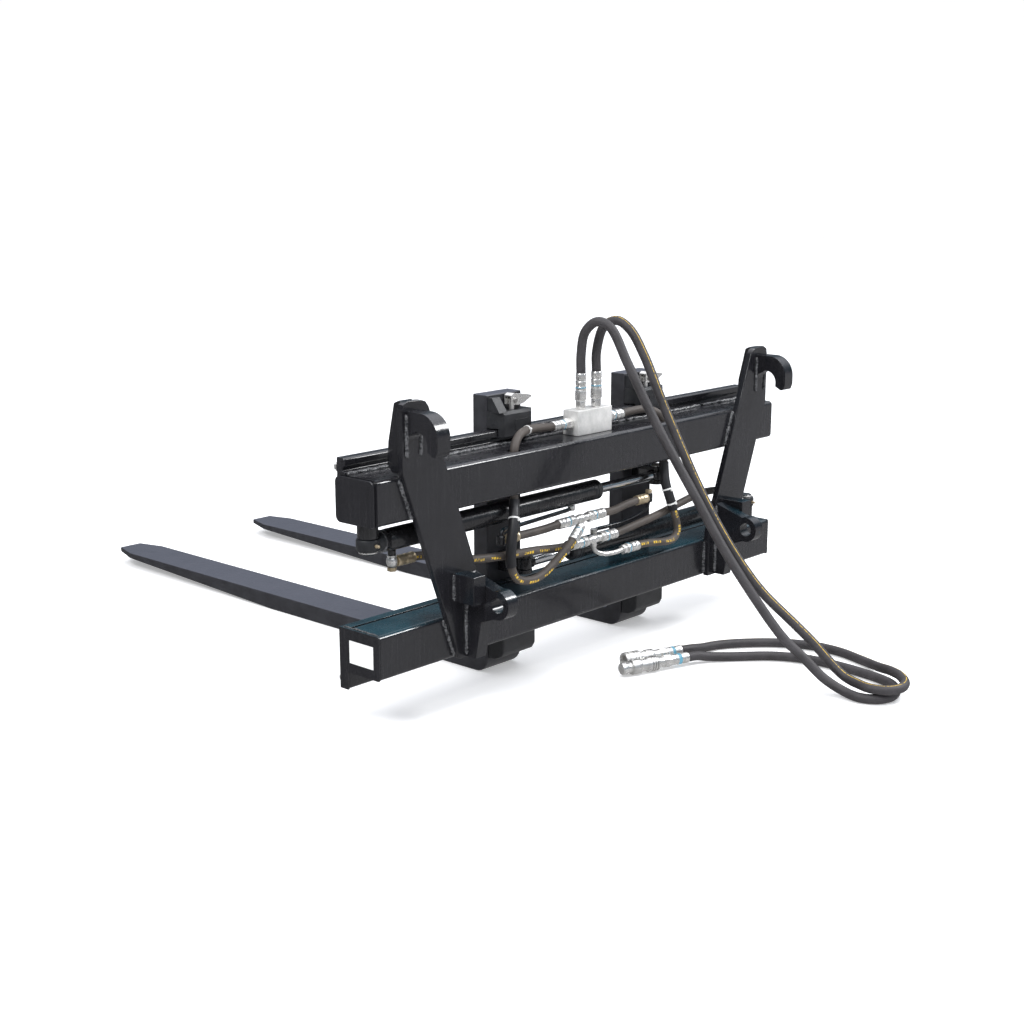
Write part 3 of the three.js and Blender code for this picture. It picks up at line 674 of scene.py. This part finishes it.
# ---------- the circuit's hoses, each with its crimped ends ----------
circuit = {
    "radius": 10,
    "ferrule": 12.5,
    "base_hose_upper": {
        "paint": "printed",
        "ends": [((-583.5, 62, 362.7), (-635.5, 62, 362.7), 0), ((-107.3, 10, 308), (-63.3, 10, 308), 0)],
        "metal": ("brass", "zinc"),
        "bends": [(-543.5, 57, 358.7), (-450, 26, 337), (-350, 18, 326), (-230, 16, 318), (-150, 16, 309)],
    },
    "base_hose_lower": {
        "paint": "circuit",
        "ends": [((65.3, 10, 308), (21.3, 10, 308), 0), ((583.5, 62, 329.3), (635.5, 62, 329.3), 0)],
        "metal": ("zinc", "brass"),
        "bends": [(120, 11, 312), (250, 16, 324), (350, 20, 337), (450, 34, 343), (540, 56, 335)],
    },
    "rod_hose_upper": {
        "paint": "circuit",
        "ends": [((-154.3, 12, 368), (-110.3, 12, 368), 0), ((-290, 20, 363), (-317.5, 20, 363), 0)],
        "metal": ("zinc", "brass"),
        "bends": [(-190, 14, 365), (-240, 18, 363)],
    },
    "rod_hose_lower": {
        "paint": "circuit",
        "ends": [((18.3, 12, 368), (-25.7, 12, 368), 0), ((160, 20, 374), (202.5, 20, 374), 0)],
        "metal": ("zinc", "brass"),
        "bends": [(60, 13, 367), (110, 18, 371)],
    },
    "transfer_hose_left": {
        "paint": "printedLow",
        "ends": [((-120.3, 60, 594), (-76.3, 60, 594), 24), ((-118, -4.5, 325), (-81, 5.5, 344.5), 0)],
        "metal": ("zinc", "zinc"),
        "bends": [
            (-160, 59, 597), (-215, 52, 600), (-262, 38, 594), (-288, 28, 575), (-295, 25, 545),
            (-295, 25, 470), (-299, 20, 440), (-318, 4, 405), (-338, -6, 350), (-341, -9, 305),
            (-324, -10, 274), (-290, -10, 261), (-245, -10, 262), (-196, -9, 281), (-150, -8, 307),
        ],
    },
    "transfer_hose_right": {
        "paint": "printedLow",
        "ends": [((146.3, 60, 594), (102.3, 60, 594), 24), ((133, -8, 268), (86, -8, 268), 0)],
        "metal": ("zinc", "zinc"),
        "bends": [
            (185, 58, 597), (230, 46, 597), (265, 32, 582), (280, 25, 550), (281, 25, 470),
            (279, 22, 440), (273, 12, 405), (275, 0, 370), (287, -7, 330), (300, -8, 295),
            (303, -8, 278), (292, -8, 261), (268, -8, 255), (225, -8, 259), (180, -8, 265),
        ],
    },
}
routeLines = {}


def makeCircuitHose(name):
    facts = circuit[name]
    (mouth0, far0, nut0), (mouth1, far1, nut1) = facts["ends"]
    inside = [at(*mouth).lerp(at(*far), 0.3) for mouth, far in ((mouth0, far0), (mouth1, far1))]
    stations = [inside[0], at(*mouth0), *(at(*p) for p in facts["bends"]), at(*mouth1), inside[1]]
    line = routePoints(stations)
    routeLines[name] = line
    radius = circuit["radius"] / 1000
    piece, length = tubeAlong(name + "Skin", line, radius)
    finished(piece, name + "Skin", facts["paint"], "frame", 60)
    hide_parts(name)
    for i, (mouth, far, nutLength) in enumerate(facts["ends"]):
        start, end = at(*mouth), at(*far)
        way = (end - start).normalized()
        size = (end - start).length * 1000
        paint = facts["metal"][i]
        profile = crimped(size, circuit["ferrule"])
        lathe(name + "Ferrule" + str(i), profile, start, way, paint, paint, sides=36, smooth=50)
        if paint == "zinc":
            low, high = size * 0.8, size * 0.87
            band = [(12.3, low), (12.7, low + 0.3), (12.7, high), (12.3, high + 0.3)]
            lathe(name + "Mark" + str(i), band, start, way, "mark", "zinc")
        if nutLength:
            nut(name + "Nut" + str(i), end, way, 25, nutLength - 0.4, "zinc", "zinc")
    print("hose", name, round(length, 3))


for name in circuit:
    if name not in ("radius", "ferrule"):
        makeCircuitHose(name)


# a thicker sleeve on each transfer hose below the upper beam, between two heights, left of the place given
sleeves = {
    "radius": 0.0124,
    "left": ("transfer_hose_left", 0.3, 0.462, -0.296),
    "right": ("transfer_hose_right", 0.335, 0.462, 1),
}
for side in ("left", "right"):
    name, low, high, limit = sleeves[side]
    line = [p for p in routeLines[name] if low < p.z < high and p.x < limit]
    piece, length = tubeAlong("sleeve_" + side, line, sleeves["radius"], 28)
    finished(piece, "sleeve_" + side, "sleeve", "frame", 60)


def zipTie(name, place, way, radius, tilt):
    # a thin band round the hose with its square lock
    band = [(radius, -2), (radius + 1.1, -2), (radius + 1.1, 2), (radius, 2)]
    ring = turnedPiece([*band, band[0]], place, way, 32, True)
    pickNothing()
    bpy.ops.mesh.primitive_cube_add(size=0.005, location=place + Vector(tilt) * (radius + 2) / 1000)
    lock = bpy.context.object
    lock.rotation_mode = "QUATERNION"
    lock.rotation_quaternion = Vector(tilt).to_track_quat("Z", "Y")
    lock.scale = (1.1, 0.9, 0.9)
    applied(lock, "BEVEL", width=0.0007, segments=2)
    finished(joinedPieces([ring, lock]), name, "tie", "frame")


def tieOn(name, hoseName, target, radius, tilt):
    line = routeLines[hoseName]
    i = min(range(1, len(line) - 1), key=lambda k: (line[k] - at(*target)).length)
    zipTie(name, line[i], line[i + 1] - line[i - 1], radius, tilt)


ties = {
    "tieTop": ("transfer_hose_left", (-224, 50, 600), 10, (0, -1, 0.4)),
    "tieLeft": ("transfer_hose_left", (-312, 8, 405), 12.4, (0, -1, 0)),
    "tieRight": ("transfer_hose_right", (272, 8, 385), 12.4, (0, -1, 0)),
    "tieRightLow": ("transfer_hose_right", (279, -3, 350), 12.4, (0, -1, 0)),
}
for name, facts in ties.items():
    tieOn(name, *facts)
print("circuit hoses ready")


# ---------- block, tees, banjos and pipes ----------
plumbing = {
    "blockTop": 625.3,
    "ports": {"a": (-17, 58), "b": (37, 54)},
    "tees": {"upper": (-68, 12, 368), "lower": (-21, 10, 308)},
    "middleZ": 346,
    "upperPipe": [
        (-44, 62, 389.7), (-44, 62, 383.7), (-53, 61, 381), (-90, 58, 380), (-190, 46, 381),
        (-290, 32, 383), (-330, 23, 385), (-343, 20.5, 381), (-345, 20, 373),
    ],
    "lowerPipe": [
        (44, 62, 302.3), (44, 62, 308.3), (53, 61, 312), (90, 58, 313), (140, 48, 317),
        (182, 33, 329), (207, 22, 346), (213, 20, 365),
    ],
    "teePipe": [(-21, 10, 294), (-18, 8, 280), (-2, 2, 270), (30, -5, 266), (84, -8, 268)],
}


def pipe(name, stations, radius, paint):
    piece, length = tubeAlong(name, routePoints([at(*p) for p in stations], 0.004), radius / 1000, 24)
    return finished(piece, name, paint, "frame", 60)


up = (0, 0, 1)
for key, (x, y) in plumbing["ports"].items():
    top = plumbing["blockTop"]
    lower = nut("portNut_" + key, at(x, y, top + 0.3), up, 22.4, 20.4, "zinc", "zinc")
    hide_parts("manifold_adapter_" + key)
    nut("swivelNut_" + key, at(x, y, top + 21), up, 26, 25, "zinc", "zinc")
    lathe("mainFerrule_" + key, crimped(41, 13), at(x, y, top + 46), up, "zinc", "zinc", smooth=50)
    band = [(12.8, 5), (13.2, 5.3), (13.2, 8), (12.8, 8.3)]
    lathe("mainMark_" + key, band, at(x, y, top + 46), up, "mark", "zinc")

for level, (x, y, z) in plumbing["tees"].items():
    profile = [(8.4, -28), (8.4, -13), (10, -11), (11.2, -6), (11.2, 6), (10, 11), (8.4, 13), (8.4, 28)]
    run = lathe("tee_" + level + "Run", profile, at(x, y, z), (1, 0, 0), "zinc", "zinc")
    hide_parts("tee_" + level)
    for i, (offset, way) in enumerate(((26, 1), (-26, -1))):
        nut("teeNut_" + level + str(i), at(x + offset, y, z), (way, 0, 0), 25, 16, "zinc", "zinc")
        collar = [(9, 12), (9.5, 12.4), (9.5, 14.6), (9, 15)]
        lathe("teeCollar_" + level + str(i), collar, at(x, y, z), (way, 0, 0), "zinc", "zinc")
armWay = (-4, -4, -19)
lathe("teeArmUpper", [(8, 0), (8, 18), (7.4, 19)], at(-68, 12, 368), armWay, "zinc", "zinc")
nut("teeArmNut", at(-70, 9, 352), (-10, -3, -6.5), 20.6, 12, "zinc", "zinc")
lathe("teeArmLower", [(8.4, 0), (8.4, 16), (7.6, 18)], at(-21, 10, 308), (0, 0, -1), "zinc", "zinc")
pipe("teeElbow", plumbing["teePipe"], 6, "zinc")
nut("teeElbowNut", at(70, -8, 267.6), (1, 0, 0.03), 22, 15, "zinc", "zinc")

for level, turn in cylinder["turn"].items():
    foot = at(turn * -648, 62, plumbing["middleZ"] + turn * 43.7)
    down = (0, 0, -turn)
    stub = lathe("basePort_" + level, [(9, 0), (9, 10), (8.4, 11)], foot, down, "cylinder", "cylinder_paint")
    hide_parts("base_banjo_" + level)
    ring = [(10.4, 11), (10.8, 11.4), (10.8, 14), (10.4, 14.4)]
    lathe("basePortRing_" + level, ring, foot, down, "zinc", "zinc")
    ball = [(8, 14.4), (10.6, 16.4), (12, 20), (12.4, 25), (12, 30), (10.6, 34), (8, 36)]
    lathe("banjoEye_" + level, ball, foot, down, "zinc", "zinc", sides=44, smooth=60)
    ring = [(9.8, 36), (10.2, 36.3), (10.2, 37.5), (9.8, 37.8)]
    lathe("banjoRing_" + level, ring, foot, down, "steel", "zinc")
    bottom = foot + Vector(down) * 0.0378
    nut("banjoBolt_" + level, bottom, down, 19, 9, "brass", "brass")

piece = pipe("rodPipeUpper", plumbing["upperPipe"], 5, "frame")
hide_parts("rod_port_pipe_upper")
profile = [(8.5, 0), (10, 1.5), (10, 20), (8.5, 22)]
lathe("rodElbowUpper", profile, at(-345, 20, 352), up, "cylinder", "frame_paint")
nut("rodElbowNutUpper", at(-340, 20, 363), (1, 0, 0), 19.4, 21, "brass", "brass")
nut("rodPipeNutUpper", at(-44, 62, 376.7), up, 17, 12.6, "zinc", "zinc")
piece = pipe("rodPipeLower", plumbing["lowerPipe"], 5, "frame")
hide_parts("rod_port_pipe_lower")
profile = [(8.5, 0), (10, 1.5), (10, 21.5), (8.5, 23)]
lathe("rodBanjoLower", profile, at(213, 20, 363), up, "cylinder", "frame_paint")
nut("rodBanjoBolt", at(213, 20, 386), up, 16, 8.6, "brass", "brass")
nut("rodPipeNutLower", at(44, 62, 315.3), (0, 0, -1), 17, 12.6, "zinc", "zinc")
print("fittings ready")


# ---------- quick couplers ----------
coupler = {
    "male": {
        "node": "coupler_male",
        "end": (102, -194, 20.6),
        "way": (-184, 65, 0),
        "hex": (50, 74, 16),
        "profile": [
            (12, 2), (13, 2.6), (13.5, 5), (13.5, 17), (12.6, 18.5), (12.6, 22), (13.5, 23.5), (13.5, 34),
            (12.6, 35.5), (12.6, 39), (13.5, 40.5), (13.5, 49), (12.8, 50), (12.8, 76), (13, 78), (13, 90),
            (17.2, 90), (18, 91), (18, 121), (17, 122.5), (14.6, 126), (14.6, 138), (17.6, 141.5),
            (18.5, 143), (18.5, 165), (17.4, 166.6), (13.5, 168), (13.5, 180), (15, 182), (15, 191),
            (13.4, 194), (9, 195),
        ],
        "rings": [(18.4, 96, 99), (18.4, 103, 106), (18.4, 110, 113)],
        "mark": (13.8, 24, 33),
    },
    "female": {
        "node": "coupler_female",
        "end": (135, -149, 20.6),
        "way": (-160, 53, 0),
        "hex": (46, 68, 16),
        "profile": [
            (12, 2), (13, 2.6), (13.5, 5), (13.5, 16), (12.6, 17.5), (12.6, 21), (13.5, 22.5), (13.5, 32),
            (12.6, 33.5), (12.6, 37), (13.5, 38.5), (13.5, 45), (12.8, 46), (12.8, 70), (13, 72), (13, 88),
            (16.8, 88), (17.5, 89), (17.5, 107), (15.4, 111), (15, 112), (15, 124), (19, 127), (19.5, 128.5),
            (20, 131), (20, 169.5), (19, 171), (15, 171), (14, 170), (14, 136), (13.2, 135),
        ],
        "rings": [(20.2, 136, 139), (20.2, 144, 147), (20.2, 160, 163)],
        "mark": (13.8, 23, 31),
    },
}


def makeCoupler(key):
    facts = coupler[key]
    start = at(*facts["end"])
    way = Vector(facts["way"])
    body = lathe("coupler_" + key + "Body", facts["profile"], start, way, "zinc", "zinc", sides=56, smooth=40)
    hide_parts(facts["node"])
    low, high, radius = facts["hex"]
    flats = 2 * radius * math.cos(math.pi / 6)
    nut("couplerNut_" + key, start + way.normalized() * low / 1000, way, flats, high - low, "zinc", "zinc")
    r, low, high = facts["mark"]
    band = [(r - 0.3, low), (r, low + 0.3), (r, high), (r - 0.3, high + 0.3)]
    lathe("couplerMark_" + key, band, start, way, "mark", "zinc")
    for i, (r, low, high) in enumerate(facts["rings"]):
        ring = [(r - 0.5, low), (r, low + 0.6), (r, high - 0.6), (r - 0.5, high)]
        lathe("couplerRing_" + key + str(i), ring, start, way, "steel", "zinc", sides=56)


for key in coupler:
    makeCoupler(key)
makeMainHose("a", "hose")
makeMainHose("b", "lined")
print("free hoses ready")


# ---------- bolts, grease nipples and latch pins ----------
stopBolts = {
    "flats": 17,
    "height": 7,
    "washer": 2,
    "places": {
        "stopBoltLowLeft": (-735, 125.9, 108),
        "stopBoltLowRight": (735, 125.9, 108),
        "stopBoltHighLeft": (-735, 125.9, 578),
        "stopBoltHighRight": (735, 125.9, 578),
    },
}


def stopBolt(name, place):
    # a hexagon head on its washer, in front of a bar's end
    forward = (0, 1, 0)
    flats, thick = stopBolts["flats"], stopBolts["washer"]
    head = hexNut(place + Vector(forward) * thick / 1000, forward, flats, stopBolts["height"])
    r = flats * 0.68
    washer = turnedPiece([(r - 0.4, 0), (r, 0.4), (r, thick - 0.4), (r - 0.4, thick)], place, forward, 32)
    finished(joinedPieces([head, washer]), name, "zinc", "frame", 25)


for name, place in stopBolts["places"].items():
    stopBolt(name, at(*place))


def greaseNipple(name, place, way, body):
    profile = [(4, 0), (4, 3), (2.6, 3.6), (2.6, 6), (3.4, 7), (3.4, 8.6), (1.6, 10.4)]
    lathe(name, profile, place, way, "brass", "brass", body, 20)


for level, turn in cylinder["turn"].items():
    greaseNipple("nipple_" + level, at(turn * -717, 36.4, cylinder["z"][level]), (0, -1, 0), "frame")



def pinHeads(side, x):
    # the ends of the cross pin that the latch lever turns on
    profile = [(5.6, 11.5), (6.2, 12), (6.2, 13.6), (5, 14.6)]
    for i, way in enumerate((1, -1)):
        name = "latchPinHead_" + side + str(i)
        lathe(name, profile, at(x + 8, 109.3, 664), (0, way, 0), "steel", "zinc", side + "_latch_pin", 28)


def castPanel(side, x):
    # a plain raised panel on the back of the fork's top hook
    pickNothing()
    bpy.ops.mesh.primitive_cube_add(size=1, location=at(x + 19, 86.4, 608))
    panel = bpy.context.object
    panel.scale = (0.046, 0.003, 0.026)
    pick(panel)
    bpy.ops.object.transform_apply(location=False, rotation=False, scale=True)
    bpy.ops.object.mode_set(mode="EDIT")
    bpy.ops.mesh.select_all(action="DESELECT")
    bpy.ops.object.mode_set(mode="OBJECT")
    for face in panel.data.polygons:
        face.select = face.normal.y < -0.9
    bpy.ops.object.mode_set(mode="EDIT")
    bpy.ops.mesh.select_mode(type="FACE")
    bpy.ops.mesh.inset(thickness=0.003)
    bpy.ops.transform.translate(value=(0, 0.0008, 0))
    bpy.ops.object.mode_set(mode="OBJECT")
    applied(panel, "BEVEL", width=0.0008, segments=2, limit_method="ANGLE", angle_limit=math.radians(20))
    finished(panel, "castPanel_" + side, "cast", side + "_fork")


forkPlaces = {"left": -218, "right": 300}
for side, x in forkPlaces.items():
    pinHeads(side, x)
    castPanel(side, x)


# ---------- weld beads: start, end and size, the last ones mirrored to the other side ----------
welds = {
    "once": [
        ((-738, 98, 564.8), (-560, 98, 564.8), 6.4),
        ((-548, 98, 564.8), (-190, 98, 564.8), 6.4),
        ((-180, 98, 564.8), (210, 98, 564.8), 6.4),
        ((220, 98, 564.8), (540, 98, 564.8), 6.4),
        ((552, 98, 564.8), (738, 98, 564.8), 6.4),
        ((-743.6, 8, 228.6), (-743.6, 118, 228.6), 2.6),
    ],
    "mirrored": [
        ((-433.6, -1.4, 134), (-433.6, -1.4, 220), 5),
        ((-522.6, -1.4, 134), (-556, -1.4, 222), 5),
        ((-515, -1.4, 470), (-549.6, -1.4, 560), 5),
        ((-648.6, -1.4, 468), (-684, -1.4, 560), 5),
        ((-682, 0.6, 565.2), (-556, 0.6, 565.2), 4.6),
        ((-553, 0.6, 229.2), (-438, 0.6, 229.2), 4.6),
        ((-674.6, 1.4, 574), (-674.6, 1.4, 716), 4),
        ((-633.4, 1.4, 574), (-633.4, 1.4, 700), 4),
        ((-674.4, -17.6, 606), (-674.4, -17.6, 698), 4.6),
        ((-633.6, -17.6, 606), (-633.6, -17.6, 698), 4.6),
        ((-463.4, -17.6, 136), (-463.4, -17.6, 316), 5),
        ((-499.6, -17.6, 136), (-499.6, -17.6, 260), 5),
        ((-537.8, -17.6, 268), (-537.8, -17.6, 326), 4.2),
    ],
}


def weldBead(start, end, radius, seed):
    # a run of ripples along a seam, thinner where it starts and stops
    a, b = at(*start), at(*end)
    count = max(8, round((b - a).length / 0.0016))
    line = []
    for i in range(count + 1):
        p = a.lerp(b, i / count)
        sway = 0.0004 * math.sin(i * 0.37 + seed) + 0.0003 * math.sin(i * 0.11 + 2 * seed)
        line.append(p + Vector((sway, sway, sway)))

    def swell(i):
        ends = min(1, 0.55 + 0.15 * min(i, count - i))
        return ends * (0.76 + 0.24 * abs(math.sin(i * 0.8 + seed)) + 0.1 * math.sin(i * 0.23 + seed))

    return tubeAlong("bead", line, radius / 1000, 12, swell)[0]


def makeWelds():
    beads = []
    runs = list(welds["once"]) + list(welds["mirrored"])
    for (x0, y0, z0), (x1, y1, z1), radius in welds["mirrored"]:
        runs.append(((-x0, y0, z0), (-x1, y1, z1), radius))
    for seed, run in enumerate(runs):
        beads.append(weldBead(*run, seed))
    return finished(joinedPieces(beads), "weldBeads", "weld", "frame", 60)


makeWelds()
print("small hardware and welds ready")

# ---------- studio ----------
studio = {
    "floorSize": 40,
    "domeRadius": 30,
    "sky": [
        (0.0, (0.3, 0.3, 0.3)), (0.5, (0.3, 0.3, 0.31)), (0.545, (0.15, 0.15, 0.17)),
        (0.6, (0.05, 0.08, 0.1)), (0.7, (0.1, 0.14, 0.17)), (0.82, (1.1, 1.12, 1.2)),
        (1.0, (2.1, 2.12, 2.2)),
    ],
    "aim": (0, -0.6, 0.3),
    "sideways": 0.5, # how much brighter the right of the view is than its left
    "lamps": [((-3.4, -1.2, 3.4), 1.2, 90), ((2.0, -2.6, 2.6), 0.9, 60)],
}


def makeStudio():
    pickNothing()
    bpy.ops.mesh.primitive_plane_add(size=studio["floorSize"], location=(0, 0, -0.0005))
    floor = bpy.context.object
    floor.name = "studioFloor"
    floor.data.materials.append(floorMaterial())
    bpy.ops.mesh.primitive_uv_sphere_add(segments=48, ring_count=24, radius=studio["domeRadius"])
    dome = bpy.context.object
    dome.name = "studioDome"
    glow = Shader("studioWhite")
    glow.set(Base_Color=(0, 0, 0), Emission_Color=(1, 1, 1), Emission_Strength=1.0)
    dome.data.materials.append(glow.material)
    # only the camera sees the white behind the floor, and the paint reflects the soft sky instead
    floor.visible_glossy = False
    dome.visible_glossy = False
    dome.visible_diffuse = False
    dome.visible_shadow = False
    world = bpy.data.worlds.new("studioWorld")
    world.use_nodes = True
    tree = world.node_tree
    direction = tree.nodes.new("ShaderNodeTexCoord")
    split = tree.nodes.new("ShaderNodeSeparateXYZ")
    half = tree.nodes.new("ShaderNodeMapRange")
    half.inputs["From Min"].default_value = -1
    ramp = tree.nodes.new("ShaderNodeValToRGB")
    fillRamp(ramp.color_ramp, studio["sky"])
    tree.links.new(direction.outputs["Generated"], split.inputs[0])
    tree.links.new(split.outputs["Z"], half.inputs["Value"])
    tree.links.new(half.outputs[0], ramp.inputs[0])
    tree.links.new(ramp.outputs[0], tree.nodes["Background"].inputs["Color"])
    side = tree.nodes.new("ShaderNodeVectorMath")
    side.operation = "DOT_PRODUCT"
    side.inputs[1].default_value = (0.74, -0.67, 0)
    tree.links.new(direction.outputs["Generated"], side.inputs[0])
    level = tree.nodes.new("ShaderNodeMapRange")
    level.inputs["From Min"].default_value = -1
    level.inputs["To Min"].default_value = 1 - studio["sideways"]
    level.inputs["To Max"].default_value = 1 + studio["sideways"]
    tree.links.new(side.outputs["Value"], level.inputs["Value"])
    tree.links.new(level.outputs[0], tree.nodes["Background"].inputs["Strength"])
    bpy.context.scene.world = world
    for place, size, power in studio["lamps"]:
        bpy.ops.object.light_add(type="AREA", location=place)
        light = bpy.context.object
        light.rotation_mode = "QUATERNION"
        light.rotation_quaternion = (Vector(place) - Vector(studio["aim"])).to_track_quat("Z", "Y")
        light.data.size = size
        light.data.energy = power
    bpy.context.scene.view_settings.view_transform = "Standard"


makeStudio()
